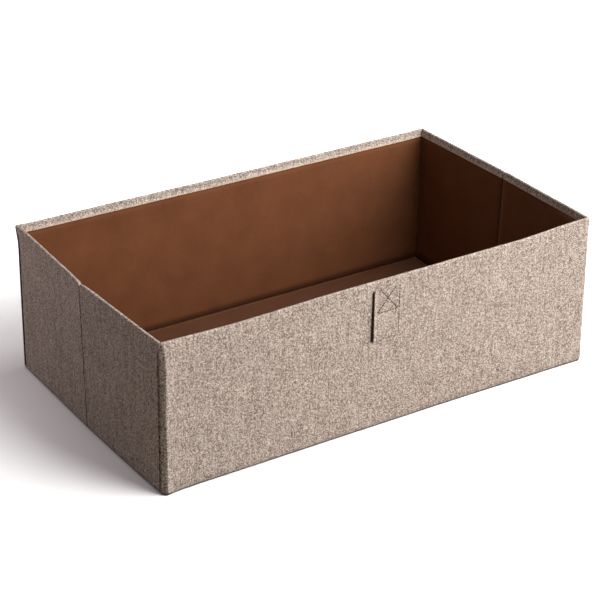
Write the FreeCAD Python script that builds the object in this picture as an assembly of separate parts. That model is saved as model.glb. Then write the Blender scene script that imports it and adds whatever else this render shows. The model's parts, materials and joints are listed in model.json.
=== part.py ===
import FreeCAD, Part

import math
import os

# A folding storage bin of cloth over stiff board, open at the top, with a pull tab on its front.
# Millimetres. X runs along the length, Y along the depth with the front at -Y, and Z is up.
# The origin is on the floor under the middle of the bin, which stands open.
# The front and back walls are one panel each. Each end wall is two half panels, which fold
# inwards along an upright crease and bring the front wall up against the back wall.

# Outside size at the corners
length = 597.0
depth = 343.0
height = 192.0
corner_radius = 3.0

# Wall layers, from the outside in
cover_thickness = 1.0
board_thickness = 2.4
lining_thickness = 0.6

# The cover turns over the rim and comes down the inside as a band
band_height = 10.0
band_thickness = 0.8

# Fold lines of the end walls
crease_bulge = 4.0
crease_axis_offset = 2.2
corner_axis_inset = 1.2
corner_gap = 0.5
crease_gap = 0.4
crease_board_margin = 2.0
band_end_clearance = 0.5

# Bottom cloth, with a soft hem turned up to meet the walls
cloth_thickness = 0.8
hem_thickness = 1.0
hem_over_insert = 0.2
hem_clearance = 0.3

# Loose base insert: a board wrapped in lining cloth, which is turned under along its edges
insert_board_thickness = 2.0
insert_wrap_thickness = 0.4
insert_wrap_margin = 20.0
insert_side_clearance = 1.5
insert_seat_gap = 0.1

# Pull tab: a strap sewn down at its top, with a free flap below
tab_width = 37.0
tab_thickness = 2.0
tab_below_rim = 12.0
tab_sewn_height = 32.0
flap_length = 34.0
flap_wall_clearance = 0.3
flap_top_gap = 0.3

# Stitches
stitch_length = 2.4
stitch_pitch = 3.4
stitch_width = 0.5
stitch_height = 0.3
tab_stitch_margin = 2.0
box_side_margin = 4.5
box_bottom_margin = 1.5
diagonal_corner_gap = 1.3
seam_pitch = 5.0
seam_stitch_length = 3.4
seam_inset = 0.9
seam_below_rim = 25.0
seam_above_hem = 3.0

# Sizes that follow
wall_thickness = cover_thickness + board_thickness + lining_thickness
band_reach = wall_thickness + band_thickness
insert_bottom = cloth_thickness + insert_seat_gap
insert_top = insert_bottom + 2 * insert_wrap_thickness + insert_board_thickness
hem_height = insert_top + hem_over_insert
wall_bottom = hem_height + hem_clearance
board_top = height - cover_thickness
corner_axis_x = length / 2 - wall_thickness - corner_axis_inset
corner_axis_y = depth / 2 - wall_thickness - corner_axis_inset
fold_reach = wall_thickness + corner_axis_inset + crease_axis_offset
bulge_angle = math.asin(crease_bulge / corner_axis_y)
half_panel = (corner_axis_y + fold_reach * math.sin(bulge_angle)) / math.cos(bulge_angle)
tab_top = height - tab_below_rim
flap_axis_z = tab_top - tab_sewn_height

ORIGIN = FreeCAD.Vector(0, 0, 0)
X_AXIS = FreeCAD.Vector(1, 0, 0)
Y_AXIS = FreeCAD.Vector(0, 1, 0)
Z_AXIS = FreeCAD.Vector(0, 0, 1)


def block(x0, x1, y0, y1, z0, z1):
    """A box between two corners."""
    return Part.makeBox(x1 - x0, y1 - y0, z1 - z0, FreeCAD.Vector(x0, y0, z0))


def mirrored_front_to_back(shape):
    return shape.mirror(ORIGIN, Y_AXIS)


def mirrored_left_to_right(shape):
    return shape.mirror(ORIGIN, X_AXIS)


# Front wall and back wall


def front_block(inset, inner, z0, z1):
    """A block along the front wall with both outer upright edges rounded.

    inset is measured from the outside of the bin, and inner from the front face inwards.
    """
    front = -depth / 2 + inset
    bar = block(-length / 2 + inset, length / 2 - inset, front, -depth / 2 + inner, z0, z1)
    outer_edges = [
        edge
        for edge in bar.Edges
        if all(abs(vertex.Y - front) < 1e-6 for vertex in edge.Vertexes)
        and abs(edge.Vertexes[0].X - edge.Vertexes[-1].X) < 1e-6
    ]
    return bar.makeFillet(corner_radius - inset, outer_edges)


def front_cover():
    """Outer cloth of the front wall, wrapped round its ends and turned over the rim."""
    outside = front_block(0, wall_thickness, wall_bottom, height)
    filling = front_block(cover_thickness, wall_thickness + band_reach, wall_bottom - band_reach, board_top)
    band_end = length / 2 - band_reach - band_end_clearance
    band = block(
        -band_end,
        band_end,
        -depth / 2 + wall_thickness,
        -depth / 2 + band_reach,
        height - band_height,
        height,
    )
    return outside.cut(filling).fuse(band).removeSplitter()


def front_board():
    return front_block(cover_thickness, cover_thickness + board_thickness, wall_bottom, board_top)


def front_lining():
    end = length / 2 - cover_thickness
    return block(
        -end,
        end,
        -depth / 2 + cover_thickness + board_thickness,
        -depth / 2 + wall_thickness,
        wall_bottom,
        board_top,
    )


# End walls, as the rear half of the left one. The other three halves are its mirror images.


def half_block(outer, inner, z0, z1, crease_margin):
    """A block along the rear half of the left end wall, turned out to the bulging crease."""
    corner_end = depth / 2 - wall_thickness - corner_gap
    crease_end = corner_axis_y - half_panel + crease_gap + crease_margin
    bar = block(-length / 2 + outer, -length / 2 + inner, crease_end, corner_end, z0, z1)
    bar.rotate(FreeCAD.Vector(-corner_axis_x, corner_axis_y, 0), Z_AXIS, -math.degrees(bulge_angle))
    return bar


def half_cover():
    skin = half_block(0, cover_thickness, wall_bottom, height, 0)
    cap = half_block(0, band_reach, board_top, height, 0)
    band = half_block(wall_thickness, band_reach, height - band_height, height, 0)
    return skin.fuse([cap, band]).removeSplitter()


def half_board():
    inner = cover_thickness + board_thickness
    return half_block(cover_thickness, inner, wall_bottom, board_top, crease_board_margin)


def half_lining():
    return half_block(cover_thickness + board_thickness, wall_thickness, wall_bottom, board_top, 0)


# Bottom


def floor_outline(inset, z0, z1):
    """A slab with the bin's own outline, creased at both ends."""
    side = length / 2 - inset
    crease = length / 2 + crease_bulge - inset
    front = depth / 2 - inset
    corners = [
        FreeCAD.Vector(-side, -front, z0),
        FreeCAD.Vector(side, -front, z0),
        FreeCAD.Vector(crease, 0, z0),
        FreeCAD.Vector(side, front, z0),
        FreeCAD.Vector(-side, front, z0),
        FreeCAD.Vector(-crease, 0, z0),
    ]
    slab = Part.Face(Part.makePolygon(corners + corners[:1])).extrude(FreeCAD.Vector(0, 0, z1 - z0))
    corner_edges = [
        edge
        for edge in slab.Edges
        if all(abs(abs(vertex.X) - side) < 1e-6 for vertex in edge.Vertexes)
        and abs(edge.Vertexes[0].Z - edge.Vertexes[-1].Z) > 1e-6
    ]
    return slab.makeFillet(corner_radius - inset, corner_edges)


def bottom_cloth():
    """The cloth under the bin, with its edge turned up as a hem."""
    tray = floor_outline(0, 0, hem_height)
    return tray.cut(floor_outline(hem_thickness, cloth_thickness, hem_height + hem_clearance))


def insert_block(inset, z0, z1):
    end = length / 2 - band_reach - insert_side_clearance - inset
    side = depth / 2 - band_reach - insert_side_clearance - inset
    return block(-end, end, -side, side, z0, z1)


def base_board():
    z0 = insert_bottom + insert_wrap_thickness
    return insert_block(insert_wrap_thickness, z0, z0 + insert_board_thickness)


def base_wrap():
    """Lining cloth over the insert's board, turned under its edges and open below."""
    window = insert_block(insert_wrap_margin, insert_bottom - 1, insert_bottom + insert_wrap_thickness)
    return insert_block(0, insert_bottom, insert_top).cut(base_board()).cut(window)


# Pull tab


def strap(back, z0, z1):
    """A length of the tab's strap, whose back face is at Y = back."""
    return block(-tab_width / 2, tab_width / 2, back - tab_thickness, back, z0, z1)


def tab_base():
    return strap(-depth / 2, flap_axis_z, tab_top)


def tab_flap():
    top = flap_axis_z - flap_top_gap
    return strap(-depth / 2 - flap_wall_clearance, flap_axis_z - flap_length, top)


# Stitches


def stitches_that_fit(run, pitch, stitch):
    return int((run + pitch - stitch) / pitch)


def stitch_row(start, end, pitch, stitch, count):
    """Stitches in a row from start to end, each (x, z), on the face at Y = 0 and standing out to -Y."""
    run = math.dist(start, end)
    slope = math.degrees(math.atan2(end[1] - start[1], end[0] - start[0]))
    row = []
    for index in range(count):
        middle = run / 2 + (index - (count - 1) / 2) * pitch
        corner = FreeCAD.Vector(middle - stitch / 2, -stitch_height, -stitch_width / 2)
        bead = Part.makeBox(stitch, stitch_height, stitch_width, corner)
        bead.rotate(ORIGIN, Y_AXIS, -slope)
        bead.translate(FreeCAD.Vector(start[0], 0, start[1]))
        row.append(bead)
    return row


def plain_row(start, end, pitch, stitch):
    """A row that stops one gap short of both its ends, so that rows can meet at a corner."""
    run = math.dist(start, end) - 2 * (pitch - stitch)
    return stitch_row(start, end, pitch, stitch, stitches_that_fit(run, pitch, stitch))


def tab_box_stitching():
    """The square that sews the tab down, crossed from corner to corner."""
    side = tab_width / 2 - box_side_margin
    low = flap_axis_z + box_bottom_margin
    high = tab_top - tab_stitch_margin
    outline = [(-side, low), (side, low), (side, high), (-side, high)]
    beads = []
    for start, end in zip(outline, outline[1:] + outline[:1]):
        beads += plain_row(start, end, stitch_pitch, stitch_length)
    inner = side - diagonal_corner_gap
    foot = low + diagonal_corner_gap
    head = high - diagonal_corner_gap
    pairs = stitches_that_fit(math.hypot(2 * inner, head - foot), stitch_pitch, stitch_length) // 2
    # An odd row has a stitch at its middle and an even one a gap, so the two cross without touching
    beads += stitch_row((-inner, head), (inner, foot), stitch_pitch, stitch_length, 2 * pairs - 1)
    beads += stitch_row((-inner, foot), (inner, head), stitch_pitch, stitch_length, 2 * pairs)
    stitching = Part.makeCompound(beads)
    stitching.translate(FreeCAD.Vector(0, -depth / 2 - tab_thickness, 0))
    return stitching


def tab_edge_stitching():
    """Stitches along the two long edges and the free end of the flap."""
    side = tab_width / 2 - tab_stitch_margin
    high = flap_axis_z - flap_top_gap
    low = flap_axis_z - flap_length + tab_stitch_margin
    beads = plain_row((-side, high), (-side, low), stitch_pitch, stitch_length)
    beads += plain_row((-side, low), (side, low), stitch_pitch, stitch_length)
    beads += plain_row((side, low), (side, high), stitch_pitch, stitch_length)
    stitching = Part.makeCompound(beads)
    stitching.translate(FreeCAD.Vector(0, -depth / 2 - flap_wall_clearance - tab_thickness, 0))
    return stitching


def front_left_seam():
    """Upright row that sews the front wall's wrapped end to the left end wall."""
    low = wall_bottom + seam_above_hem
    high = height - seam_below_rim
    count = stitches_that_fit(high - low, seam_pitch, seam_stitch_length)
    seam = Part.makeCompound(stitch_row((0, low), (0, high), seam_pitch, seam_stitch_length, count))
    seam.rotate(ORIGIN, Z_AXIS, -90)
    seam.translate(FreeCAD.Vector(-length / 2, -depth / 2 + wall_thickness - seam_inset, 0))
    return seam


nodes = {
    "front_cover": front_cover(),
    "front_board": front_board(),
    "front_lining": front_lining(),
    "left_rear_cover": half_cover(),
    "left_rear_board": half_board(),
    "left_rear_lining": half_lining(),
    "bottom_cloth": bottom_cloth(),
    "base_board": base_board(),
    "base_wrap": base_wrap(),
    "tab_base": tab_base(),
    "tab_flap": tab_flap(),
    "tab_box_stitching": tab_box_stitching(),
    "tab_edge_stitching": tab_edge_stitching(),
    "front_left_seam": front_left_seam(),
}
nodes["front_right_seam"] = mirrored_left_to_right(nodes["front_left_seam"])
for layer in ("cover", "board", "lining"):
    nodes["back_" + layer] = mirrored_front_to_back(nodes["front_" + layer])
    nodes["left_front_" + layer] = mirrored_front_to_back(nodes["left_rear_" + layer])
    nodes["right_rear_" + layer] = mirrored_left_to_right(nodes["left_rear_" + layer])
    nodes["right_front_" + layer] = mirrored_left_to_right(nodes["left_front_" + layer])
for side in ("left", "right"):
    nodes["back_" + side + "_seam"] = mirrored_front_to_back(nodes["front_" + side + "_seam"])

os.makedirs("parts", exist_ok=True)
for name, shape in nodes.items():
    shape.exportStep("parts/" + name + ".step")
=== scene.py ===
import json
import math

import bpy
from mathutils import Matrix, Vector, noise


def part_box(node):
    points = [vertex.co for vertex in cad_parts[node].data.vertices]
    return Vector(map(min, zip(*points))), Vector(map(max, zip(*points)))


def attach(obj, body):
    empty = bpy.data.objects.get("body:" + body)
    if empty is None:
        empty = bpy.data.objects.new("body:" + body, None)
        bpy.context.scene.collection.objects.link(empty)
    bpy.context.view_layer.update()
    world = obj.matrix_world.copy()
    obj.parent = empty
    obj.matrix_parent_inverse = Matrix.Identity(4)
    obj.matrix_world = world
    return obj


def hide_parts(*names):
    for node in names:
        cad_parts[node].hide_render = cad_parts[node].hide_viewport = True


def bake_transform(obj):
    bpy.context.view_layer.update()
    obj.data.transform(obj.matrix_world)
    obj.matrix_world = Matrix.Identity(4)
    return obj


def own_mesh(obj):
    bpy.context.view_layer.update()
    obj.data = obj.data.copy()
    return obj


# The looks of a folding storage bin: heathered cloth over board walls, a lining, a loose base
# insert and a stitched pull tab. Metres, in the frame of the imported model, with the front at -Y.

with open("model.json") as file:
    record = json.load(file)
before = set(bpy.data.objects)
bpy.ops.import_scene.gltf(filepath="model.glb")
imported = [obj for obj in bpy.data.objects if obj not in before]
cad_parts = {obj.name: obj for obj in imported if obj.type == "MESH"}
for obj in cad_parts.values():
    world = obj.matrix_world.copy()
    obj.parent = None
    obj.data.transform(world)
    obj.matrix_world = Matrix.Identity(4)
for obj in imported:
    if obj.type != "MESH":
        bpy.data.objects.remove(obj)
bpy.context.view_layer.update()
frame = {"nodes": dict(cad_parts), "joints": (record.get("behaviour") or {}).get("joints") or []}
joints = {joint["name"]: joint for joint in frame["joints"]}

MM = 0.001
SIDES = {-1: "left", 1: "right"}
ENDS = {-1: "front", 1: "rear"}
LONG_WALLS = {-1: "front", 1: "back"}

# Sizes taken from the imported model
front_low, front_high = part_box("front_cover")
flap_low, flap_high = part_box("tab_flap")
insert_low, insert_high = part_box("base_wrap")
tab_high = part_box("tab_base")[1]
hem_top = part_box("bottom_cloth")[1].z
half_length = front_high.x
half_depth = -front_low.y
rim_z = front_high.z
wall_bottom = front_low.z
wall_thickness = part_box("front_lining")[1].y - front_low.y
band_reach = front_high.y - front_low.y
corner_axis_x, corner_axis_y, _ = joints["back_right_corner"]["pos_m"]

# Layers of a wall, measured from its outer face inwards
cloth = 0.45 * MM
board_outer = 0.5 * MM
board_inner = 2.95 * MM
turn_in = 3.45 * MM
lining_thickness = 0.5 * MM
hair = 0.05 * MM

# The turned-in ends of a cover, and its band over the rim
turn_in_width = 15 * MM
band_height = 10 * MM
band_slim = 0.8 * MM
band_roll = {False: 0.7 * MM, True: 0.1 * MM}
pressed_band = 4.35 * MM
press_reach = 55 * MM
band_end_gap = 0.5 * MM
lining_tuck = 2 * MM
rim_radius = 1.6 * MM

# Edges of the wall panels, by the side in X and in Y where they differ
corner_reach = 12 * MM
corner_run = 5.2 * MM
corner_run_top = 3.2 * MM
corner_tight_run = 12 * MM
corner_waver = 2.4 * MM
waver_length = 55 * MM
corner_depth = 3.2 * MM
corner_power = 1.9
corner_ridge = 2.7 * MM
ridge_fade = 14 * MM
CORNER_GAPS = {(-1, -1): 2.4 * MM, (1, -1): 0.3 * MM, (-1, 1): 2.4 * MM, (1, 1): 2.4 * MM}
SOFTNESS = {(-1, -1): 1.0, (1, -1): 0.4, (-1, 1): 0.6, (1, 1): 0.4}
gap_run = 12 * MM
groove_top = 14 * MM
groove_fade = 8 * MM
groove_inner = 0.2 * MM
groove_corner = 0.9 * MM
inner_corner = 0.6 * MM
crease_corner = 0.8 * MM
crease_gap = 0.7 * MM
panel_gap = 0.1 * MM
board_edge = 0.2 * MM
crease_margin = 6 * MM
corner_margin = 10 * MM
lining_margin = 4.4 * MM

# Soft shape of the walls
crease_bulge_low = 2.0 * MM
crease_bulge_high = 6.0 * MM
notch_depth = {-1: 2.6 * MM, 1: 1.0 * MM}
NOTCH_WIDTHS = {(-1, -1): 6.0 * MM, (-1, 1): 2.5 * MM, (1, -1): 2.0 * MM, (1, 1): 2.0 * MM}
ripple = 0.45 * MM
ripple_length = 110 * MM
ripple_height = 80 * MM
ripple_margin = 18 * MM
rim_wobble = 0.3 * MM
rim_wobble_length = 45 * MM

# The bin's slight lack of square
ear_height = 36 * MM
ear_reach = 14 * MM
EARS = {(-1, 1): 2.8 * MM, (1, -1): 0.9 * MM, (-1, -1): 0.6 * MM, (1, 1): 1.2 * MM}
front_sag = -2.6 * MM
sag_place = -195 * MM
sag_width = 75 * MM
right_rise = 4.8 * MM
rise_start = 180 * MM
foot_lean = 1.9 * MM
head_lean = 2.0 * MM
corner_pull = 1.9 * MM
lean_reach = 30 * MM
foot_spread = 2.5 * MM
spread_start = 50 * MM
back_rise = 1.1 * MM

# Steps of the meshes
STATION_STEP = 9 * MM
CORNER_STEP = 3 * MM
HEIGHT_STEP = 10 * MM
STRIP_STEP = 8 * MM
ARC_STEPS = 5
TINY = 0.15 * MM
SHARP_ANGLE = math.radians(50)


def clamp(t):
    return min(1.0, max(0.0, t))


def smooth(t):
    """A rise from 0 to 1 with flat ends."""
    t = clamp(t)
    return t * t * (3 - 2 * t)


def spread(start, end, step):
    """Evenly spaced values from start to end, no further apart than step."""
    count = max(1, math.ceil(abs(end - start) / step))
    return [start + (end - start) * i / count for i in range(count + 1)]


# Meshes


def add_object(name, data):
    thing = bpy.data.objects.new(name, data)
    bpy.context.scene.collection.objects.link(thing)
    return thing


def stand_for(piece, body, *nodes):
    """Shows a piece in place of nodes of the model, and moves it with their body."""
    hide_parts(*nodes)
    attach(piece, body)


class Surface:
    """Points and faces, with the place in the weave of every face corner."""

    def __init__(self, flip=False):
        self.points = []
        self.faces = []
        self.weave = []
        self.flip = flip

    def face(self, corners):
        """Adds a face from corners that are each a point's index and its two weave coordinates."""
        if self.flip:
            corners = corners[::-1]
        self.faces.append([corner[0] for corner in corners])
        self.weave += [(corner[1], corner[2]) for corner in corners]

    def loft(self, turns, weave):
        """Adds faces between closed turns of points. weave gives a corner's coordinates."""
        first, size = len(self.points), len(turns[0])
        for k, turn in enumerate(turns):
            self.points += turn
            for i in range(size if k else 0):
                corners = ((k - 1, i), (k - 1, i + 1), (k, i + 1), (k, i))
                self.face([(first + b * size + a % size, *weave(b, a)) for b, a in corners])

    def build(self, name, material, slot, layer=0.0, thickness=0.0):
        used = sorted({index for face in self.faces for index in face})
        place = {old: new for new, old in enumerate(used)}
        mesh = bpy.data.meshes.new(name)
        faces = [[place[index] for index in face] for face in self.faces]
        mesh.from_pydata([self.points[index] for index in used], [], faces)
        weave = mesh.attributes.new("weave", "FLOAT_VECTOR", "CORNER")
        weave.data.foreach_set("vector", [value for u, w in self.weave for value in (u, w, layer)])
        mesh.polygons.foreach_set("use_smooth", [True] * len(mesh.polygons))
        mesh.set_sharp_from_angle(angle=SHARP_ANGLE)
        mesh.materials.append(material)
        piece = add_object(name, mesh)
        if thickness:
            solidify = piece.modifiers.new("thickness", "SOLIDIFY")
            solidify.thickness = thickness
            solidify.offset = -1
        return piece


def grid(us, ws, place, flip=False):
    """A surface over two lists of coordinates, which are also its weave coordinates."""
    surface = Surface(flip)
    surface.points = [place(u, w) for w in ws for u in us]
    columns = len(us)
    for j in range(len(ws) - 1):
        for i in range(columns - 1):
            corners = [(i, j), (i + 1, j), (i + 1, j + 1), (i, j + 1)]
            surface.face([(b * columns + a, us[a], ws[b]) for a, b in corners])
    return surface


def lids(count, size):
    """Faces that close a turn of size points, with count of them along each long side."""
    back = size // 2
    across = [[i, i + 1, back + count - 2 - i, back + count - 1 - i] for i in range(count - 1)]
    return across + [[*range(count - 1, back + 1)], [*range(back + count - 1, size), 0]]


class Level:
    """One turn of a wrapped cloth: height, inner face, inset and place in the weave."""

    def __init__(self, z, inner, inset=0.0, weave=None):
        self.z = z
        self.inner = inner
        self.inset = inset
        self.weave = z if weave is None else weave


def round_end(radius):
    """An end whose outer corner is a plain round one at every height."""
    return lambda z: (radius, radius, 1.0)


def rounded(end, sense, corner, level):
    """The edge of a panel's end at a level, and its outer corner's run, depth and power."""
    run, depth, power = corner(level.z)
    inset = level.inset
    return end - sense * inset, max(run - inset, TINY), max(depth - inset, TINY), power


def outer_depth(s, ends, level):
    """How far inwards the outer side of a turn lies at s, because of its rounded corners."""
    for (end, corners), sense in zip(ends, (-1, 1)):
        edge, run, depth, power = rounded(end, sense, corners[0], level)
        share = ((s - edge) * sense + run) / run
        if share > 0:
            share = min(share, 1.0)
            return level.inset + depth * (1 - (1 - share ** (2 / power)) ** (power / 2))
    return level.inset


def end_points(end, sense, corners, level, station):
    """Points (s, v) round one end of a panel, from its last outer station to its inner corner."""
    edge, run, depth, power = rounded(end, sense, corners[0], level)
    inner = max(corners[1] - level.inset, TINY)
    high = level.inner(end) - level.inset
    share = clamp(((station - edge) * sense + run) / run)
    first = math.asin(share ** (1 / power))
    points = []
    for i in range(1, ARC_STEPS + 1):
        angle = first + (math.pi / 2 - first) * i / ARC_STEPS
        across = 1 - math.sin(angle) ** power
        inwards = 1 - max(0.0, math.cos(angle)) ** power
        points.append((edge - sense * run * across, level.inset + depth * inwards))
    for i in range(ARC_STEPS + 1):
        angle = math.pi / 2 * i / ARC_STEPS
        across = 1 - math.cos(angle)
        inwards = 1 - math.sin(angle)
        points.append((edge - sense * inner * across, high - inner * inwards))
    return points


def along(points, start, sense):
    """Weave coordinates of points that carry on from the station at start."""
    run = [start]
    for last, point in zip(points, points[1:]):
        run.append(run[-1] + sense * math.dist(last, point))
    return run


def wrapped(place, stations, ends, levels, flip, keep=None):
    """Cloth wrapped round a panel, turn by turn, and closed over its top.

    ends holds the near and the far end, each as its place along the panel and its two corners.
    keep says which faces stay. Without it all of them do, and the foot is closed too.
    """
    (near, near_corners), (far, far_corners) = ends
    surface = Surface(flip)
    count = len(stations)
    turns = []
    for level in levels:
        outer = [(s, outer_depth(s, ends, level)) for s in stations]
        inner = [(s, level.inner(s) - level.inset) for s in reversed(stations)]
        far_end = end_points(far, 1, far_corners, level, stations[-1])
        near_end = end_points(near, -1, near_corners, level, stations[0])[::-1]
        turns.append(outer + far_end + inner + near_end)
        surface.points += [place(s, v, level.z) for s, v in turns[-1]]
    size = len(turns[0])
    back = size // 2
    steps = back - count + 1
    zones = [("outer", 0)] * (count - 1) + [("far", step) for step in range(steps)]
    zones += [("inner", 0)] * (count - 1) + [("near", step) for step in reversed(range(steps))]
    far_run = list(range(count - 1, back + 1))
    near_run = [0, *range(size - 1, back + count - 2, -1)]
    base = turns[0]
    weave = {"far": dict(zip(far_run, along([base[i] for i in far_run], stations[-1], 1)))}
    weave["near"] = dict(zip(near_run, along([base[i] for i in near_run], stations[0], -1)))
    flat = turns[-1][back][1] - turns[-1][count - 1][1]

    def corner(k, i, zone):
        u = weave[zone][i] if zone in weave else turns[k][i][0]
        w = levels[k].weave
        if zone == "inner":
            w = 2 * levels[-1].weave + flat - w
        return (k * size + i, u, w)

    def cap(k, sense):
        for indices in lids(count, size):
            points = [(i, *turns[k][i]) for i in indices[::sense]]
            surface.face([(k * size + i, s, levels[k].weave + v) for i, s, v in points])

    for k in range(len(levels) - 1):
        for i, (zone, step) in enumerate(zones):
            j = (i + 1) % size
            s = (turns[k][i][0] + turns[k][j][0]) / 2
            if keep is None or keep(zone, step, s, k):
                around = ((k, i), (k, j), (k + 1, j), (k + 1, i))
                surface.face([corner(b, a, zone) for b, a in around])
    cap(len(levels) - 1, 1)
    if keep is None:
        cap(0, -1)
    return surface


# Walls. Along a panel s runs in metres, v goes from its outer face inwards, and z is up.


def bulge(z):
    """How far an end wall's crease stands out of the straight line between its corners."""
    return crease_bulge_low + (crease_bulge_high - crease_bulge_low) * clamp(z / rim_z)


def near_corner(point, side_x, side_y, reach):
    """A share that falls from 1 at a corner of the bin, the further away the point lies."""
    away = abs(point.x - side_x * half_length) + abs(point.y - side_y * half_depth)
    return math.exp(-away / reach)


def settle(point):
    """Moves a point as the bin isn't quite square: flared top corners, a sagging rim and a lean."""
    share = clamp(point.z / rim_z)
    flare = smooth((point.z - rim_z + ear_height) / ear_height) ** 2
    shift = Vector((0, 0, 0))
    for (side_x, side_y), size in EARS.items():
        outwards = Vector((side_x, side_y, 0)).normalized()
        shift += outwards * size * flare * near_corner(point, side_x, side_y, ear_reach)
        before = half_length - abs(point.x)
        if point.x * side_x > 0 and point.y * side_y > half_depth - 2 * wall_thickness:
            fade = math.exp(-max(0.0, before - corner_run) / ridge_fade)
            ridge = smooth(before / corner_run) * fade
            shift.y += side_y * corner_ridge * SOFTNESS[side_x, side_y] * ridge * (1 - flare)
    front = max(0.0, -point.y / half_depth)
    back = max(0.0, point.y / half_depth)
    sag = front_sag * math.exp(-(((point.x - sag_place) / sag_width) ** 2))
    rise = right_rise * smooth((point.x - rise_start) / (half_length - rise_start))
    shift.z += (sag + rise) * front * share
    lean = foot_lean * (1 - share) - head_lean * share
    shift.x += lean * near_corner(point, 1, -1, lean_reach)
    to_right = smooth((point.x - spread_start) / (half_length - spread_start))
    shift.y -= foot_spread * (1 - share) * front * to_right
    shift.x += corner_pull * near_corner(point, -1, -1, lean_reach)
    shift.z += back_rise * share * back * smooth(-point.x / half_length)
    return point + shift


class Wall:
    """A wall panel. s is X on a long wall, whose side_x is 0, and else the way from the crease."""

    def __init__(self, side_x, side_y, layer):
        self.side_x = side_x
        self.side_y = side_y
        self.layer = layer
        self.is_half = side_x != 0
        if self.is_half:
            self.name = self.body = SIDES[side_x] + "_" + ENDS[side_y]
            self.start, self.end = crease_gap, half_depth - wall_thickness - panel_gap
            self.flip = side_x * side_y < 0
        else:
            self.name = LONG_WALLS[side_y]
            self.body = self.name + "_wall"
            self.start, self.end = -half_length, half_length
            self.flip = side_y > 0

    def flat(self, s, v, z):
        """The point of a panel without ripples. The groove at an end wall's corner is open below
        the rim, so the panel's end is drawn back there."""
        if not self.is_half:
            return Vector((s, self.side_y * (half_depth - v), z))
        below_rim = 1 - smooth((z - rim_z + groove_top) / groove_fade)
        gap = CORNER_GAPS[self.side_x, self.side_y]
        s -= gap * below_rim * smooth((s - self.end + gap_run) / gap_run)
        near_rim = smooth((z - rim_z + band_height) / band_height)
        notch = math.exp(-abs(s) / NOTCH_WIDTHS[self.side_x, self.side_y])
        z -= notch_depth[self.side_x] * near_rim * notch
        out = half_length + bulge(z) * (1 - abs(s) / half_depth)
        return Vector((self.side_x * (out - v), self.side_y * s, z))

    def place(self, s, v, z):
        """The point with the panel's own ripples and the bin's slight lack of square."""
        edge = smooth(min(s - self.start, self.end - s) / ripple_margin)
        fade = edge * smooth((z - wall_bottom) / (2 * ripple_margin))
        wave = noise.noise(Vector((s / ripple_length, z / ripple_height, self.layer * 3.7)))
        lift = noise.noise(Vector((s / rim_wobble_length, self.layer * 5.1, 0.5)))
        top = smooth((z - rim_z + 2 * band_height) / (2 * band_height))
        return settle(self.flat(s, v + ripple * wave * fade, z + rim_wobble * lift * top * edge))


long_walls = [Wall(0, -1, 0.0), Wall(0, 1, 1.0)]
half_walls = [Wall(x, y, 2.0 + x + 0.5 * y) for x in SIDES for y in ENDS]
by_name = {wall.name: wall for wall in long_walls + half_walls}


def soft_corner(wall, side_x):
    """The wrapped outer corner of a long wall, which wanders a little and tightens at the rim."""
    soft = SOFTNESS[side_x, wall.side_y]

    def corner(z):
        tight = smooth((z - rim_z + groove_top) / corner_tight_run)
        wander = noise.noise(Vector((z / waver_length, wall.layer * 7.3 + side_x, 1.5)))
        run = soft * (corner_run + corner_waver * wander)
        return run + (soft * corner_run_top - run) * tight, soft * corner_depth, corner_power

    return corner


def band_shape(wall, band_end):
    """The inner face of a band, by height and then by the place along the wall."""

    def band_face(z):
        share = (z - rim_z + band_height) / band_height
        roll = band_roll[wall.is_half] * (1 - smooth(share / 0.5))
        face = band_reach + roll - band_slim * smooth((share - 0.1) / 0.6)
        flat_face = min(face, pressed_band)

        def reach(s):
            """The band is pressed flat near the front corners, where the folded walls lie close."""
            if not wall.is_half and abs(s) >= band_end + TINY:
                return min(face, wall_thickness - hair)
            if wall.side_y > 0:
                return face
            to_corner = wall.end - (s if wall.is_half else abs(s))
            pressing = smooth((to_corner - press_reach / 2) / press_reach)
            return flat_face + (face - flat_face) * pressing

        return reach

    return band_face


def cover_levels(band_face):
    """Turns of a cover from its foot, up the band and over the rounded rim."""
    band_foot = rim_z - band_height
    rim_start = rim_z - rim_radius

    def tucked(s):
        return turn_in

    def resting(s):
        return min(wall_thickness + hair, band_face(band_foot)(s))

    def folding(s):
        return band_face(band_foot)(s) - 0.25 * MM

    heights = spread(wall_bottom + 6 * MM, rim_z - ear_height, HEIGHT_STEP)
    heights += spread(rim_z - ear_height + CORNER_STEP, band_foot - 0.5 * MM, CORNER_STEP)
    levels = [Level(wall_bottom + hair, tucked, 0.1 * MM), Level(wall_bottom + 0.3 * MM, tucked)]
    levels += [Level(z, tucked) for z in heights]
    levels += [Level(band_foot - 0.2 * MM, resting), Level(band_foot + hair, folding)]
    levels += [Level(z, band_face(z)) for z in spread(band_foot + 0.5 * MM, rim_start, 0.9 * MM)]
    for i in range(1, ARC_STEPS + 2):
        angle = math.pi / 2 * i / (ARC_STEPS + 1)
        z = rim_start + rim_radius * math.sin(angle)
        inset = rim_radius * (1 - math.cos(angle))
        levels.append(Level(z, band_face(rim_start), inset, rim_start + rim_radius * angle))
    return levels


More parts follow.
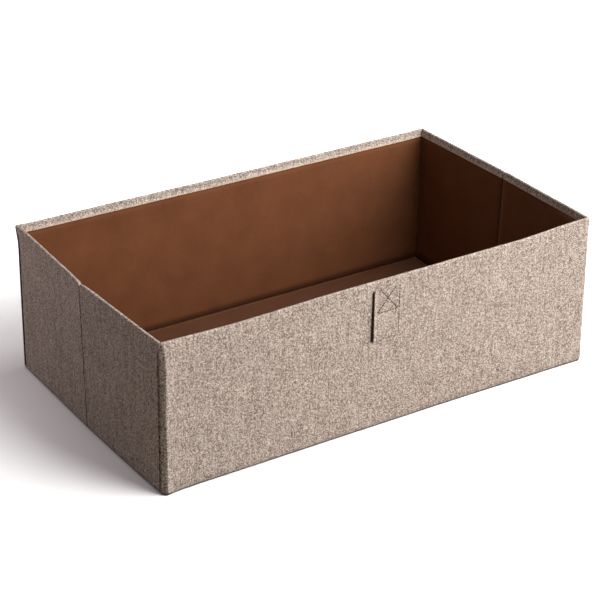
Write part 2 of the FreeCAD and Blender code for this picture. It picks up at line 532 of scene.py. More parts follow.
def cover(wall, material):
    """Outer cloth of a wall, wrapped round its ends and turned over the rim as a band."""
    is_half = wall.is_half
    band_end = half_length - band_reach - band_end_gap
    levels = cover_levels(band_shape(wall, band_end))
    band_start = rim_z - band_height - 0.3 * MM
    band_level = next(k for k, level in enumerate(levels) if level.z > band_start)

    def keep(zone, step, s, k):
        if k >= band_level:
            return True
        if zone == "inner":
            return wall.end - s < turn_in_width or (not is_half and s - wall.start < turn_in_width)
        return not (is_half and zone == "near" and step >= ARC_STEPS)

    if is_half:
        corners = ((wall.start, crease_corner), (wall.end, groove_corner))
        ends = tuple((end, (round_end(radius), inner_corner)) for end, radius in corners)
        stations = spread(wall.start + crease_corner, wall.start + STATION_STEP, 1.2 * MM)
        stations += spread(wall.start + 14 * MM, wall.end - 30 * MM, STATION_STEP)
        stations += spread(wall.end - 27 * MM, wall.end - groove_corner, CORNER_STEP)
    else:
        ends = tuple((x * half_length, (soft_corner(wall, x), groove_inner)) for x in SIDES)
        middle = spread(-half_length + 32 * MM, half_length - 32 * MM, STATION_STEP)
        side = spread(half_length - 29 * MM, half_length - corner_reach, CORNER_STEP)
        side += spread(half_length - corner_reach + MM, band_end - 0.4 * MM, MM)
        side += [band_end, band_end + 0.3 * MM]
        side += [half_length - distance * MM for distance in (3.2, 2.2, 1.2)]
        stations = [-s for s in side[::-1]] + middle + side
    surface = wrapped(wall.place, stations, ends, levels, wall.flip, keep)
    piece = surface.build(wall.name + "_cloth", material, "cover_cloth", wall.layer, cloth)
    stand_for(piece, wall.body, wall.name + "_cover")


def board(wall, material):
    """Stiff board inside a wall."""
    start = wall.start + (crease_margin if wall.is_half else corner_margin)
    end = wall.end - (board_outer if wall.is_half else corner_margin)

    def place(s, v, z):
        return wall.place(s, board_outer + v, z)

    def thickness(s):
        return board_inner - board_outer

    levels = [Level(z, thickness) for z in spread(wall_bottom, rim_z - 0.6 * MM, 12 * MM)]
    stations = spread(start + board_edge, end - board_edge, 14 * MM)
    corners = (round_end(board_edge), board_edge)
    surface = wrapped(place, stations, ((start, corners), (end, corners)), levels, wall.flip)
    piece = surface.build(wall.name + "_stiffener", material, "greyboard", wall.layer)
    stand_for(piece, wall.body, wall.name + "_board")


def lining(wall, material):
    """Inner cloth of a wall, tucked under the band at its top."""
    near, far = (0.1 * MM, 0.3 * MM) if wall.is_half else (lining_margin, lining_margin)
    us = spread(wall.start + near, wall.end - far, STATION_STEP)
    ws = spread(wall_bottom, rim_z - band_height + lining_tuck, HEIGHT_STEP)
    surface = grid(us, ws, lambda s, z: wall.place(s, wall_thickness, z), not wall.flip)
    name = wall.name + "_inner_cloth"
    piece = surface.build(name, material, "lining_cloth", wall.layer, lining_thickness)
    stand_for(piece, wall.body, wall.name + "_lining")


# Strips of cloth at the folds

crease_reach = 5.2 * MM
crease_strip_thickness = 0.3 * MM
strip_thickness = 0.2 * MM
tape_flange = 5.6 * MM
tape_proud = 0.25 * MM
tape_radius = 0.8 * MM
tape_zone = 1.6 * MM
tape_top = rim_z - band_height - 0.3 * MM
pleat_clearance = 0.25 * MM
pleat_mouth = 0.3 * MM
pleat_depth = 3.82 * MM
pleat_top = rim_z - 7 * MM
roll_flange = 9 * MM
FOLDING_CORNERS = {
    (-1, 1): ("back_wall", "left_rear"),
    (-1, -1): ("left_front", "front_wall"),
    (1, 1): ("back_wall", "right_rear"),
}


def crease_strip(side_x, kind, depth, top, material, slot, layer):
    """The cloth that runs on behind a crease, from an end wall's rear half to its front half."""
    rear, front = SIDES[side_x] + "_rear", SIDES[side_x] + "_front"

    def place(u, z):
        return by_name[rear if u >= 0 else front].flat(abs(u), depth, z)

    us = spread(-crease_reach, crease_reach, 0.5 * MM)
    ws = spread(wall_bottom + 0.4 * MM, top, STRIP_STEP)
    surface = grid(us, ws, place, side_x < 0)
    name = SIDES[side_x] + "_crease_" + kind + "_strip"
    piece = surface.build(name, material, slot, layer, crease_strip_thickness)
    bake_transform(piece)


def corner_strip(kind, side_x, side_y, path, top, layer, material, bend=None):
    """A thin strip of lining down a corner.

    path is its cross-section at the back right corner, and the other corners mirror it. bend is
    the pair of places, on the long wall and on the end wall, at its fold; with it the strip stays
    fixed.
    """
    us = along(path, 0.0, 1)
    index = {u: i for i, u in enumerate(us)}
    ws = spread(wall_bottom + 0.2 * MM, top, STRIP_STEP)

    def place(u, z):
        x, y = path[index[u]]
        on_bulge = kind == "tape" and x == path[-1][0]
        out = bulge(z) * (1 - y / half_depth) if on_bulge else 0
        return settle(Vector((side_x * (x + out), side_y * y, z)))

    surface = grid(us, ws, place, (side_x * side_y < 0) != (kind == "pleat"))
    name = SIDES[side_x] + "_" + ENDS[side_y] + "_corner_" + kind
    piece = surface.build(name, material, "lining_cloth", layer, strip_thickness)
    if bend:
        parent, child = FOLDING_CORNERS[side_x, side_y]
        places = [(side_x * x, side_y * y, 0) for x, y in bend]
        start, end = places if parent == "back_wall" else places[::-1]
        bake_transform(piece)
        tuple(start)
        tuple(end)
    else:
        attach(piece, LONG_WALLS[side_y] + "_wall")


def corner_tape(side_x, side_y, material):
    """A narrow tape of lining down an inner corner, folded into it."""
    x = half_length - wall_thickness - tape_proud
    y = half_depth - wall_thickness - tape_proud
    path = [(x - u, y) for u in spread(tape_flange, tape_radius, 0.7 * MM)]
    for i in range(1, ARC_STEPS):
        angle = math.pi / 2 * i / ARC_STEPS
        turned = x - tape_radius + tape_radius * math.sin(angle)
        path.append((turned, y - tape_radius + tape_radius * math.cos(angle)))
    path += [(x, y - u) for u in spread(tape_radius, tape_flange, 0.7 * MM)]
    bend = ((x - tape_zone, y), (x, y - tape_zone))
    corner_strip("tape", side_x, side_y, path, tape_top, 5.0, material, bend)


def corner_pleat(side_x, side_y, material):
    """A strip of lining folded into the groove of an outer corner."""
    # The near-black cloth it is given is painted shade for the deep groove
    gap = CORNER_GAPS[side_x, side_y]
    wall_face = half_depth - turn_in - pleat_clearance
    half_face = half_depth - wall_thickness - panel_gap - gap - pleat_clearance
    mouth = half_length - pleat_mouth
    depth = half_length - pleat_depth
    step = 0.8 * MM
    path = [(x, half_face) for x in spread(mouth, depth, step)]
    path += [(depth, y) for y in spread(half_face, wall_face, step)[1:]]
    path += [(x, wall_face) for x in spread(depth, mouth, step)[1:]]
    bend = ((depth, wall_face), (depth, half_face))
    corner_strip("pleat", side_x, side_y, path, pleat_top, 5.5, material, bend)


def corner_roll(material):
    """The front wall's lining rolled round the turning line of the right front corner.

    No joint bends a strip there, so it rides the front wall and stays clear as the walls turn.
    """
    radius = half_length - wall_thickness - corner_axis_x - strip_thickness - hair
    path = [(corner_axis_x - u, corner_axis_y + radius) for u in spread(roll_flange, 0, 1.5 * MM)]
    for angle in spread(-math.pi / 2, math.pi / 9, math.pi / 16)[1:]:
        across, back = radius * math.cos(angle), radius * math.sin(angle)
        path.append((corner_axis_x + across, corner_axis_y - back))
    corner_strip("roll", 1, -1, path, tape_top, 5.0, material)


# Bottom. The profiles are heights and insets in millimetres, for the hem also the depth of its
# corners. The insert's heights are counted from its foot and from its head.

HEM_PROFILE = [(2.6, 0.35, 3.4), (1.7, 0.6, 4.0), (1.0, 1.1, 4.6), (0.45, 1.9, 5.2)]
HEM_PROFILE += [(0.1, 3.2, 6.0), (0.0, 5.0, 7.0), (0.0, 10, 8.0)]
HEM_LINING_PROFILE = [(3.7, 0.95), (2.7, 0.95), (1.9, 1.15), (1.3, 1.6)]
HEM_LINING_PROFILE += [(0.85, 2.3), (0.6, 3.4), (0.52, 5), (0.52, 10)]
INSERT_FOOT_PROFILE = [(0.0, 12), (0.0, 2.2), (0.25, 0.8), (0.9, 0.1)]
INSERT_HEAD_PROFILE = [(1.1, 0.0), (0.5, 0.35), (0.1, 1.1), (0.0, 2.2), (0.0, 12)]
tray_thickness = 0.45 * MM
hem_lining_thickness = 0.3 * MM
hem_lining_rise = 3 * MM
insert_corner = 3 * MM
insert_cloth_thickness = 0.35 * MM


def tray(levels, width, depth, crease, power, shape, rising):
    """A shallow tray or pad with rounded edges, from rings that start at its open edge.

    Each level is its height, its inset, and the length and depth of its corners.
    """
    stations_x = spread(-width + 20 * MM, width - 20 * MM, 13 * MM)
    stations_y = spread(-depth + 40 * MM, 0, 14 * MM)
    stations_y += [-y for y in stations_y[-2::-1]]
    arc_steps = 6

    def ring(z, inset, full_run, full_rise):
        """Points once round the tray, counterclockwise from its front left."""
        side = width - inset
        front = depth - inset

        def corner(side_x, side_y):
            soft = SOFTNESS[side_x, side_y]
            points = []
            for i in range(arc_steps + 1):
                angle = math.pi / 2 * i / arc_steps
                x = side - full_run * soft * (1 - max(0.0, math.cos(angle)) ** power)
                y = front - full_rise * soft * (1 - math.sin(angle) ** power)
                points.append((side_x * x, side_y * y))
            return points

        right = [(side + crease(z) * (1 - abs(y) / depth), y) for y in stations_y]
        points = [(x, -front) for x in stations_x] + corner(1, -1)[::-1] + right + corner(1, 1)
        points += [(x, front) for x in reversed(stations_x)] + corner(-1, 1)[::-1]
        points += [(-x, y) for x, y in reversed(right)] + corner(-1, -1)
        return [shape(Vector((x, y, z))) for x, y in points]

    surface = Surface(flip=not rising)
    rings = [ring(*level) for level in levels]
    size = len(rings[0])
    run = [0.0]
    for a, b in zip(rings[1], rings[1][1:] + rings[1][:1]):
        run.append(run[-1] + (b - a).length)
    height = [0.0]
    for low, high in zip(rings, rings[1:]):
        height.append(height[-1] + (high[0] - low[0]).length)
    surface.loft(rings, lambda k, i: (run[i], height[k]))
    first = size * (len(levels) - 1)
    for indices in lids(len(stations_x), size):
        surface.face([(first + i, rings[-1][i].x, rings[-1][i].y) for i in indices])
    return surface


def gather(piece):
    """Attaches a bottom sheet to the back wall, with a mesh of its own."""
    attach(piece, "back_wall")
    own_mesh(piece)


def bottom_layer(name, levels, rise, material, slot, layer, thickness, node=None):
    """A sheet under the whole bin, turned up all round; rise is not used."""
    surface = tray(levels, half_length, half_depth, bulge, corner_power, settle, rising=False)
    piece = surface.build(name, material, slot, layer, thickness)
    if node:
        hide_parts(node)
    gather(piece)


def bottom(material):
    """Cloth under the bin, turned up all round as a soft hem that meets the walls."""
    top = ((hem_top, 0.5 * MM), (hem_top - 0.3 * MM, 0.35 * MM))
    levels = [(z, inset, corner_run, corner_depth) for z, inset in top]
    levels += [(z * MM, inset * MM, corner_run, rise * MM) for z, inset, rise in HEM_PROFILE]
    settings = (material, "cover_cloth", 6.0, tray_thickness)
    bottom_layer("bottom_sheet", levels, hem_top, *settings, node="bottom_cloth")


def bottom_lining(material):
    """Lining inside the bottom cloth and its hem, under the loose insert."""
    levels = [(z * MM, inset * MM, corner_run, 4 * MM) for z, inset in HEM_LINING_PROFILE]
    settings = (material, "lining_cloth", 6.5, hem_lining_thickness)
    bottom_layer("bottom_inner_sheet", levels, hem_lining_rise, *settings)


def insert_cover(material):
    """Lining cloth over the loose base board, turned under along its edges."""
    low, high = insert_low.z, insert_high.z
    profile = [(low + up * MM, inset * MM) for up, inset in INSERT_FOOT_PROFILE]
    profile += [(high - down * MM, inset * MM) for down, inset in INSERT_HEAD_PROFILE]
    levels = [(z, inset, insert_corner, insert_corner) for z, inset in profile]
    surface = tray(levels, insert_high.x, insert_high.y, lambda z: 0, 1.0, Vector, rising=True)
    piece = surface.build("insert_cloth", material, "lining_cloth", 7.0, insert_cloth_thickness)
    stand_for(piece, "base_insert", "base_wrap")


# Pull tab

strap_half = tab_high.x
strap_shift = Vector((-2.4 * MM, 0, 2.3 * MM))
strap_thickness = 0.7 * MM
strap_gap = 0.4 * MM
strap_lift = 2.7 * MM
sewn_lift_start = 11.5 * MM
free_lift_start = 5 * MM
backing_gap = 0.15 * MM
backing_turn = 1.9 * MM
backing_thickness = 0.3 * MM
cross_inset = 3.6 * MM
edge_row = 17.5 * MM
stitch_groove = 0.4 * MM
groove_width = 0.9 * MM

# Rows of stitches, from and to (x, z): the dark ones that show, and paths of faint ones
box_left, box_right = -13.2 * MM, 15.8 * MM
box_foot, box_head = flap_high.z + 1.5 * MM, tab_high.z - 1.2 * MM
flap_foot, flap_head = flap_low.z + 2.2 * MM, flap_high.z - 5 * MM
box_rows = [
    ((box_left, box_foot), (box_right, box_foot)),
    ((edge_row, box_foot), (edge_row, box_head)),
    ((box_left, box_foot), (box_right - cross_inset, box_head)),
    ((box_right, box_foot), (box_left + cross_inset, box_head)),
]
flap_rows = [((edge_row, flap_foot), (edge_row, flap_head))]
faint_box_path = [(edge_row, box_head), (box_left, box_head), (box_left, box_foot)]
faint_flap_path = [(box_left, flap_head), (box_left, flap_foot), (edge_row, flap_foot)]


def distance_to_row(x, z, row):
    (x0, z0), (x1, z1) = row
    run = Vector((x1 - x0, z1 - z0))
    t = clamp(Vector((x - x0, z - z0)).dot(run) / run.length_squared)
    return math.dist((x, z), (x0 + t * run.x, z0 + t * run.y))


def curl(z):
    """The curl of the left margin grows from the strap's top to its foot."""
    below = tab_high.z - z
    return (0.65 + 0.35 * below / (tab_high.z - flap_low.z)) * smooth(below / (4 * MM))


def lifted(x, z):
    """How far the strap's left margin curls away from the wall."""
    free = smooth((box_foot - z) / (8 * MM))
    start = sewn_lift_start + (free_lift_start - sewn_lift_start) * free
    edge = max(0.0, (-x - start) / (strap_half - start))
    return strap_lift * edge**1.5 * curl(z)


def strap_face(x, z):
    """How far the strap's outer face stands from the wall, with its stitch grooves."""
    near = min(distance_to_row(x, z, row) for row in box_rows + flap_rows)
    groove = stitch_groove * math.exp(-((near / groove_width) ** 2))
    return strap_gap + strap_thickness + lifted(x, z) - groove


def off_wall(x, out, z):
    """A point of the tab that stands out from the front wall."""
    return Vector((x, -half_depth - out, z)) + strap_shift


def on_strap(x, z, v=0.0):
    """A point on the strap's outer face, or v inside it."""
    return off_wall(x, strap_face(x, z) - v, z)


def hang(piece):
    """Fixes a piece of the pull tab in place, with its transform baked into its mesh."""
    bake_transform(piece)


def tab_strap(material):
    """The whole pull tab: sewn down at the top and hanging free below."""
    radius = strap_thickness * 0.45
    inset = radius * 0.8

    def thickness(s):
        return strap_thickness

    steps = ((0, 1.0), (0.3, 0.4))
    low, high = flap_low.z, tab_high.z
    levels = [Level(low + inset * up, thickness, inset * share) for up, share in steps]
    levels += [Level(z, thickness) for z in spread(low + inset, high - inset, 0.8 * MM)]
    levels += [Level(high - inset * up, thickness, inset * share) for up, share in steps[::-1]]
    stations = spread(-strap_half + radius, strap_half - radius, 0.8 * MM)
    corners = (round_end(radius), radius * 0.9)
    ends = ((-strap_half, corners), (strap_half, corners))
    surface = wrapped(lambda s, v, z: on_strap(s, z, v), stations, ends, levels, False)
    piece = surface.build("tab_strap", material, "cover_cloth", 8.0)
    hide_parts("tab_base", "tab_flap")
    hang(piece)


def tab_backing(material):
    """The strap's backing cloth, which turns in from the curled left edge to the wall; its
    near-black colour is painted shade for the crevice under that edge.
    """
    edge = -strap_half + 0.2 * MM
    us = [edge - backing_turn * i / 4 for i in range(4, 0, -1)]
    us += spread(edge, strap_half - 0.8 * MM, 1.6 * MM)
    ws = spread(flap_low.z + 0.3 * MM, tab_high.z - 0.4 * MM, 2 * MM)

    def place(x, z):
        out = lifted(max(x, edge), z) + strap_gap - backing_gap
        if x < edge:
            share = (edge - x) / backing_turn
            x = edge - backing_turn * curl(z) * share
            out = out * (1 - share) + backing_gap * share
        return off_wall(x, out, z)

    surface = grid(us, ws, place)
    piece = surface.build("tab_backing", material, "lining_cloth", 8.5, backing_thickness)
    hang(piece)


# Stitches. Each row has its pitch, the length of its stitches and the radius of its thread.

DARK_ROW = (3.8 * MM, 2.5 * MM, 0.62 * MM)
SLANTED_ROW = (3.2 * MM, 2.9 * MM, 0.62 * MM)
FAINT_ROW = (3.8 * MM, 2.3 * MM, 0.3 * MM)
SEAM_ROW = (5 * MM, 3.4 * MM, 0.22 * MM)
seam_start = 3 * MM
seam_stop = 25 * MM


def thread(surface, start, end, normal, radius):
    """One stitch: a round thread that rises out of the cloth and dives back."""
    run = end - start
    across = run.normalized().cross(normal)
    sides = 6
    rings = 7
    angles = [2 * math.pi * i / sides for i in range(sides)]
    spokes = [across * math.cos(angle) + normal * math.sin(angle) for angle in angles]
    turns = []
    for k in range(rings):
        t = k / (rings - 1)
        bow = math.sin(math.pi * t)
        centre = start + run * t + normal * radius * (bow - 0.35)
        size = radius * (0.55 + 0.45 * bow)
        turns.append([centre + spoke * size for spoke in spokes])
    first = len(surface.points)
    surface.loft(turns, lambda k, i: (i * radius, run.length * k / (rings - 1)))
    last = len(surface.points) - sides
    surface.face([(first + i, i * radius, 0) for i in range(sides)][::-1])
    surface.face([(last + i, i * radius, run.length) for i in range(sides)])


def stitch_line(surface, start, end, row, on_face, normal):
    """Evenly pitched stitches between two places, which on_face turns into points."""
    pitch, stitch, radius = row
    run = math.dist(start, end)
    count = max(1, int((run + pitch - stitch) / pitch))
    offset = (run - (count - 1) * pitch - stitch) / 2

    def at(distance):
        return on_face(*(a + (b - a) * (distance / run) for a, b in zip(start, end)))

    for i in range(count):
        low = offset + i * pitch
        thread(surface, at(low), at(low + stitch), normal, radius)


def tab_stitches(name, dark_rows, faint_path, body, node):
    surface = Surface()
    forwards = Vector((0, -1, 0))
    for start, end in dark_rows:
        slanted = start[0] != end[0] and start[1] != end[1]
        stitch_line(surface, start, end, SLANTED_ROW if slanted else DARK_ROW, on_strap, forwards)
    dark_count = len(surface.faces)
    for start, end in zip(faint_path, faint_path[1:]):
        stitch_line(surface, start, end, FAINT_ROW, on_strap, forwards)
    piece = surface.build(name, dark_thread, "thread", 9.0)
    piece.data.materials.append(faint_thread)
    for polygon in piece.data.polygons[dark_count:]:
        polygon.material_index = 1
    stand_for(piece, body, node)


def seam_stitches(side_x, wall, material):
    """The upright row that sews a long wall's wrapped end to the end wall."""
    surface = Surface()
    inset = corner_depth + hair

    def on_end(v, z):
        return settle(Vector((side_x * half_length, wall.side_y * (half_depth - v), z)))

    foot, head = (inset, wall_bottom + seam_start), (inset, rim_z - seam_stop)
    stitch_line(surface, foot, head, SEAM_ROW, on_end, Vector((side_x, 0, 0)))
    name = wall.name + "_" + SIDES[side_x]
    piece = surface.build(name + "_stitches", material, "thread", 10.0)
    stand_for(piece, wall.body, name + "_seam")


# Materials

THREAD_PITCH = 1.0 * MM
CLOTH_TONES = (
    (0.0, (0.15, 0.105, 0.085)),
    (0.35, (0.34, 0.265, 0.22)),
    (0.65, (0.52, 0.43, 0.37)),
    (1.0, (0.80, 0.71, 0.63)),
)
# Painted highlight: the paler, warmer colour of the band's lower edge
BAND_EDGE_HIGHLIGHT = (0.86, 0.66, 0.5)
# Painted shade: the dark colour of the line where the hem turns under the bin
FOOT_SHADE = (0.05, 0.042, 0.036)
FOOT_LINE = 2.9 * MM
CLOTH_SHEEN = (0.9, 0.8, 0.72)
LINING_SHEEN = (0.9, 0.55, 0.35)
BOARD_TONES = ((0.29, 0.26, 0.225), (0.43, 0.40, 0.355))
FLOOR_BOUNCE = (0.2, 0.16, 0.12)
FLOOR_SEEN = (1.5, 1.5, 1.5)

# How far up the weave the band's lower edge lies
band_weave = 2 * (rim_z - rim_radius + rim_radius * math.pi / 2)
band_weave += band_reach - band_slim - 2 * rim_radius
band_weave -= rim_z - band_height


class Nodes:
    """A short way to write the node tree of a material or of the world."""

    def __init__(self, owner):
        self.owner = owner
        owner.use_nodes = True
        self.tree = owner.node_tree
        self.tree.nodes.clear()

    def add(self, kind, inputs=(), **settings):
        node = self.tree.nodes.new("ShaderNode" + kind)
        for name, value in settings.items():
            setattr(node, name, value)
        for name, value in dict(inputs).items():
            socket = node.inputs[name]
            if isinstance(value, bpy.types.NodeSocket):
                self.tree.links.new(value, socket)
            else:
                socket.default_value = (*value, 1) if socket.type == "RGBA" else value
        return node

    def math(self, operation, a, b=0.0, c=0.0):
        return self.add("Math", {0: a, 1: b, 2: c}, operation=operation).outputs[0]

    def times(self, value, factor):
        return self.math("MULTIPLY", value, factor)

    def vary(self, base, *parts):
        """A base value moved by parts, each a share around 0.5 and its weight."""
        for share, weight in parts:
            base = self.math("MULTIPLY_ADD", self.math("SUBTRACT", share, 0.5), weight, base)
        return base

    def noise(self, vector, scale, detail=2.0, roughness=0.5):
        inputs = {"Vector": vector, "Scale": scale, "Detail": detail, "Roughness": roughness}
        return self.add("TexNoise", inputs).outputs["Fac"]

    def weave(self):
        return self.add("Attribute", attribute_name="weave").outputs["Vector"]

    def split(self, vector):
        return self.add("SeparateXYZ", {0: vector}).outputs[:]

    def vector(self, x, y, z):
        return self.add("CombineXYZ", {0: x, 1: y, 2: z}).outputs[0]

    def ramp(self, value, low, high, top=1.0, **settings):
        inputs = {"Value": value, "From Min": low, "From Max": high, "To Max": top}
        return self.add("MapRange", inputs, **settings).outputs["Result"]

    def mix(self, factor, a, b):
        return self.add("Mix", {0: factor, 6: a, 7: b}, data_type="RGBA").outputs[2]

    def finish(self, color, height, distance, roughness, sheen=0.0, sheen_tint=(1, 1, 1)):
        bump = self.add("Bump", {"Height": height, "Distance": distance, "Strength": 1.0})
        inputs = {"Base Color": color, "Normal": bump.outputs[0], "Roughness": roughness}
        inputs |= {"Specular IOR Level": 0.25, "Sheen Weight": sheen, "Sheen Roughness": 0.5}
        shader = self.add("BsdfPrincipled", inputs | {"Sheen Tint": sheen_tint})
        self.add("OutputMaterial", {"Surface": shader.outputs[0]})
        return self.owner


def cover_cloth_material(name, painted_foot_shade=False):
    """Heathered linen-look cloth: a plain weave of threads that change tone along their length."""
    n = Nodes(bpy.data.materials.new(name))
    weave = n.weave()
    u, w, layer = n.split(weave)
    shift = n.times(n.math("SUBTRACT", n.noise(weave, 60.0, 1.0), 0.5), 3 * THREAD_PITCH)
    columns = n.math("DIVIDE", n.math("ADD", u, shift), THREAD_PITCH)
    rows = n.math("DIVIDE", n.math("ADD", w, shift), THREAD_PITCH)
    column, row = n.math("FLOOR", columns), n.math("FLOOR", rows)
    # Threads cross like a chequerboard, and the added even number keeps the sum above zero
    is_warp = n.math("MODULO", n.math("ADD", n.math("ADD", column, row), 10000.0), 2.0)
    # Each thread has its own tone, which changes slowly along it
    warp_tone = n.noise(n.vector(n.times(column, 3.1), n.times(w, 60.0), layer), 1.0, 1.0)
    cell = n.add("TexWhiteNoise", {"Vector": n.vector(column, row, layer)}).outputs["Value"]
    slub = n.noise(n.vector(n.times(u, 820.0), n.times(w, 24.0), layer), 1.0, 1.0)
    cloud = n.noise(weave, 22.0, 3.0, 0.6)
    mixed = n.vary(0.5, (warp_tone, 0.3), (cell, 1.1), (is_warp, 0.3), (slub, 0.75), (cloud, 0.2))
    tones = n.add("ValToRGB", {0: mixed})
    elements = tones.color_ramp.elements
    while len(elements) < len(CLOTH_TONES):
        elements.new(0.5)
    for element, (position, color) in zip(elements, CLOTH_TONES):
        element.position = position
        element.color = (*color, 1)
    in_thread = {0: is_warp, 2: n.math("FRACT", rows), 3: n.math("FRACT", columns)}
    over = n.add("Mix", in_thread, data_type="FLOAT").outputs[0]
    bead = n.math("SINE", n.times(over, math.pi))
    height = n.math("MULTIPLY_ADD", n.noise(weave, 1600.0, 2.0), 0.6, bead)
    # Painted highlight: the band's lower edge is coloured paler and warmer, as if lit, by a share
    # that differs from cell to cell
    edge = n.ramp(w, band_weave - 4 * MM, band_weave - MM)
    turned = n.times(edge, n.math("MULTIPLY_ADD", cell, 0.6, 0.3))
    color = n.mix(turned, tones.outputs["Color"], BAND_EDGE_HIGHLIGHT)
    if painted_foot_shade:
        # Painted shade: a dark line in the cloth's colour where the hem turns under the bin
        from_line = n.math("ABSOLUTE", n.math("SUBTRACT", w, FOOT_LINE))
        color = n.mix(n.ramp(from_line, 2.3 * MM, 1.7 * MM), color, FOOT_SHADE)
    return n.finish(color, height, 0.07 * MM, 0.92, 0.12, CLOTH_SHEEN)


def lining_cloth_material(name, low, high):
    """Smooth rust-brown lining with a short, slightly blotchy nap."""
    n = Nodes(bpy.data.materials.new(name))
    weave = n.weave()
    patches = n.noise(weave, 26.0, 4.0, 0.6)
    grain = n.noise(weave, 420.0, 3.0, 0.6)
    color = n.mix(n.vary(0.5, (patches, 0.9), (grain, 0.8)), low, high)
    height = n.math("ADD", grain, n.noise(weave, 1500.0, 2.0))
    return n.finish(color, height, 0.08 * MM, 0.85, 0.1, LINING_SHEEN)


def greyboard_material():
    """Pressed board with short fibres."""
    n = Nodes(bpy.data.materials.new("greyboard"))
    fibres = n.noise(n.add("TexCoord").outputs["Object"], 500.0, 4.0, 0.7)
    return n.finish(n.mix(fibres, *BOARD_TONES), fibres, 0.1 * MM, 0.9)


def thread_material(name, low, high):
    """Sewing thread, twisted along its length."""
    n = Nodes(bpy.data.materials.new(name))
    round_it, along_it, _ = n.split(n.weave())
    twist = n.math("SINE", n.math("ADD", n.times(round_it, 3000.0), n.times(along_it, 9000.0)))
    color = n.mix(n.math("MULTIPLY_ADD", twist, 0.5, 0.5), low, high)
    return n.finish(color, twist, 0.05 * MM, 0.7)


def floor_material():
    """White floor that keeps the bin's shadow, lightened by a painted glow from a centimetre out,
    and is plain white further away.
    """
    n = Nodes(bpy.data.materials.new("floor"))
    x, y, _ = n.split(n.add("NewGeometry").outputs["Position"])
    squares = []
    for place, half in ((x, half_length), (y, half_depth)):
        past = n.math("MAXIMUM", n.math("SUBTRACT", n.math("ABSOLUTE", place), half), 0.0)
        squares.append(n.times(past, past))
    away = n.math("SQRT", n.math("ADD", *squares))
    far = n.ramp(away, 0.14, 0.42, interpolation_type="SMOOTHSTEP")
    # Painted light: a faint glow for the camera that lightens the bin's shadow on the floor, rising
    # from 1 cm to 7 cm out from the walls
    painted_shadow_lift = n.ramp(away, 0.01, 0.07, 0.075)
    path = n.add("LightPath").outputs
    seen = n.math("MAXIMUM", path["Is Camera Ray"], path["Is Glossy Ray"])
    diffuse = n.add("BsdfDiffuse", {"Color": n.mix(seen, FLOOR_BOUNCE, FLOOR_SEEN)})
    glow = n.add("Emission", {"Strength": n.times(seen, n.math("ADD", far, painted_shadow_lift))})
    both = n.add("AddShader", {0: diffuse.outputs[0], 1: glow.outputs[0]})
    n.add("OutputMaterial", {"Surface": both.outputs[0]})
    return n.owner


# Floor, light and camera

floor_reach = 8.0


def make_floor(material):
    mesh = bpy.data.meshes.new("floor")
    corners = ((-1, -1), (1, -1), (1, 1), (-1, 1))
    mesh.from_pydata([(x * floor_reach, y * floor_reach, 0) for x, y in corners], [], [range(4)])
    mesh.materials.append(material)
    add_object("floor", mesh)


def direction(azimuth, elevation):
    """The way from the bin to a viewpoint: azimuth 0 is in front, 90 on the right."""
    a, e = math.radians(azimuth), math.radians(elevation)
    return Vector((math.sin(a) * math.cos(e), -math.cos(a) * math.cos(e), math.sin(e)))


def make_lamp(name, azimuth, elevation, distance, size, power, color):
    """A round softbox aimed at the bin."""
    light = bpy.data.lights.new(name, "AREA")
    light.shape = "DISK"
    light.size = size
    light.energy = power
    light.color = color
    lamp = add_object(name, light)
    way = direction(azimuth, elevation)
    lamp.location = Vector((0, 0, rim_z / 2)) + way * distance
    lamp.rotation_mode = "QUATERNION"
    lamp.rotation_quaternion = way.to_track_quat("Z", "Y")


def make_world(strength):
    n = Nodes(bpy.data.worlds.new("studio"))
    bpy.context.scene.world = n.owner
    seen = n.add("LightPath").outputs["Is Camera Ray"]
    dim = n.add("Background", {"Color": (1, 1, 1), "Strength": strength})
    white = n.add("Background", {"Color": (1, 1, 1), "Strength": 1.0})
    mix = n.add("MixShader", {0: seen, 1: dim.outputs[0], 2: white.outputs[0]})
    n.add("OutputWorld", {"Surface": mix.outputs[0]})


def make_camera():
    """The photograph's own viewpoint, fitted to the corners of the bin."""
    length = 2 * half_length
    azimuth, elevation, roll = -33.59, 27.30, math.radians(1.08)
    distance = 3.9705 * length
    shift_right = -0.0092 * length
    shift_up = -0.0110 * length
    back = direction(azimuth, elevation)
    right = (-back).cross(Vector((0, 0, 1))).normalized()
    up = right.cross(-back)
    data = bpy.data.cameras.new("camera")
    data.sensor_width = 36.0
    data.lens = 116.73
    data.clip_start = 0.01
    data.clip_end = 100.0
    camera = add_object("camera", data)
    place = Vector((0, 0, rim_z / 2)) + back * distance + right * shift_right + up * shift_up
    turned_right = right * math.cos(roll) + up * math.sin(roll)
    turned_up = up * math.cos(roll) - right * math.sin(roll)
    basis = Matrix((turned_right, turned_up, back)).transposed()
    camera.matrix_world = Matrix.Translation(place) @ basis.to_4x4()
    bpy.context.scene.camera = camera


# Everything together

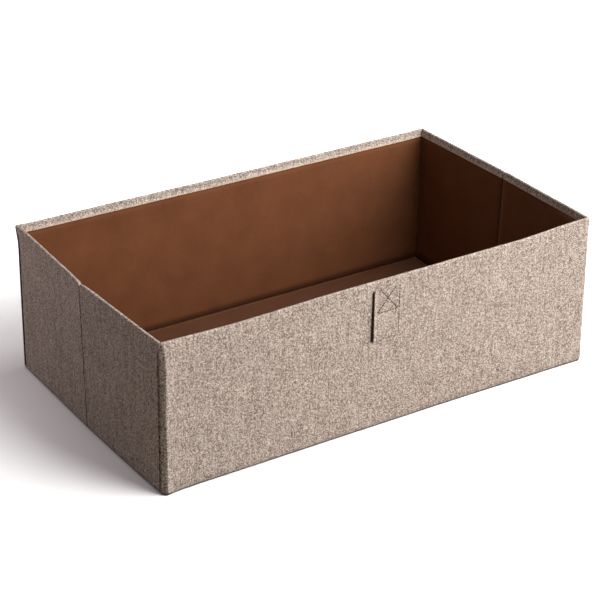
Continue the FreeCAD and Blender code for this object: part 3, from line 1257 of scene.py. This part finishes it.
cover_cloth = cover_cloth_material("cover_cloth")
hem_cloth = cover_cloth_material("hem_cloth", painted_foot_shade=True)
lining_cloth = lining_cloth_material("lining_cloth", (0.118, 0.036, 0.0116), (0.214, 0.077, 0.0275))
# Painted shade: a darker copy of the lining for the insert, which keeps the bin's floor and the
# light it throws on the walls dim
insert_lining = lining_cloth_material("insert_lining", (0.075, 0.026, 0.011), (0.135, 0.05, 0.021))
# Painted shade: a near-black copy of the lining for the corner grooves and under the tab's curled
# edge
dark_lining = lining_cloth_material("dark_lining", (0.024, 0.011, 0.007), (0.045, 0.021, 0.013))
greyboard = greyboard_material()
dark_thread = thread_material("dark_thread", (0.025, 0.017, 0.012), (0.065, 0.045, 0.034))
faint_thread = thread_material("faint_thread", (0.26, 0.2, 0.165), (0.4, 0.33, 0.28))

make_camera()
for wall in long_walls + half_walls:
    cover(wall, cover_cloth)
    board(wall, greyboard)
    lining(wall, lining_cloth)
for side in SIDES:
    crease_strip(side, "outer", 2.2 * MM, rim_z - 4 * MM, cover_cloth, "cover_cloth", 4.0)
    crease_strip(side, "lining", 3.0 * MM, rim_z - band_height, lining_cloth, "lining_cloth", 4.5)
for corner in FOLDING_CORNERS:
    corner_tape(*corner, lining_cloth)
    corner_pleat(*corner, dark_lining)
corner_roll(lining_cloth)
bottom(hem_cloth)
bottom_lining(lining_cloth)
insert_cover(insert_lining)
tab_strap(cover_cloth)
tab_backing(dark_lining)
tab_stitches("tab_box_stitches", box_rows, faint_box_path, "front_wall", "tab_box_stitching")
tab_stitches("tab_edge_stitches", flap_rows, faint_flap_path, "pull_tab", "tab_edge_stitching")
for wall in long_walls:
    for side in SIDES:
        seam_stitches(side, wall, dark_thread)
base_board = frame["nodes"]["base_board"]
base_board.data.materials.clear()
base_board.data.materials.append(greyboard)

make_floor(floor_material())
make_world(0.12)
make_lamp("key", 39, 35, 2.1, 2.2, 77, (1, 0.985, 0.975))
make_lamp("top_light", 90, 80, 1.3, 0.6, 3.0, (1, 0.98, 0.96))
make_lamp("left_fill", -122, 15, 0.85, 0.5, 0.85, (1, 0.83, 0.9))
bpy.context.scene.view_settings.view_transform = "Standard"
